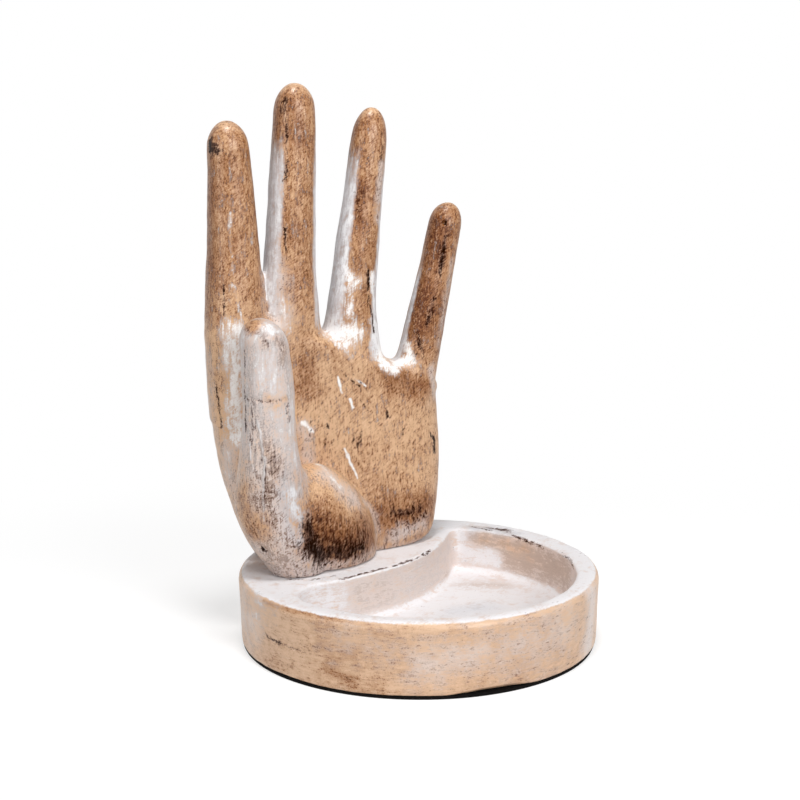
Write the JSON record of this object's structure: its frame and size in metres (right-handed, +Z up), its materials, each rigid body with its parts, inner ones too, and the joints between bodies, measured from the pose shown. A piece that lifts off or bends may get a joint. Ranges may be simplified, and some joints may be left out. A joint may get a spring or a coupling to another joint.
{
  "type": "hand jewelry stand",
  "caption": "Carved wooden hand standing on a round wooden tray; rings go over its fingers and small jewelry lies in the tray's crescent well.",
  "frame": {"origin": "centre of the underside of the pad, on the tray's axis", "axes": "+Z up, the palm faces -Y, +X runs from the thumb side to the little finger side"},
  "size_m": [0.1439, 0.142, 0.2166],
  "materials": {
    "whitewashed_wood": "tan paint under a rubbed white wash, satin",
    "painted_wood": "tan paint rubbed through to dark brown, whitewashed between the fingers, satin",
    "steel": "plain zinc",
    "black_felt": "thin black felt"
  },
  "bodies": {
    "root": {"tray_base": "whitewashed_wood", "hand": "painted_wood", "screw_thumb_side": "steel", "screw_little_finger_side": "steel", "base_pad": "black_felt"}
  },
  "joints": []
}
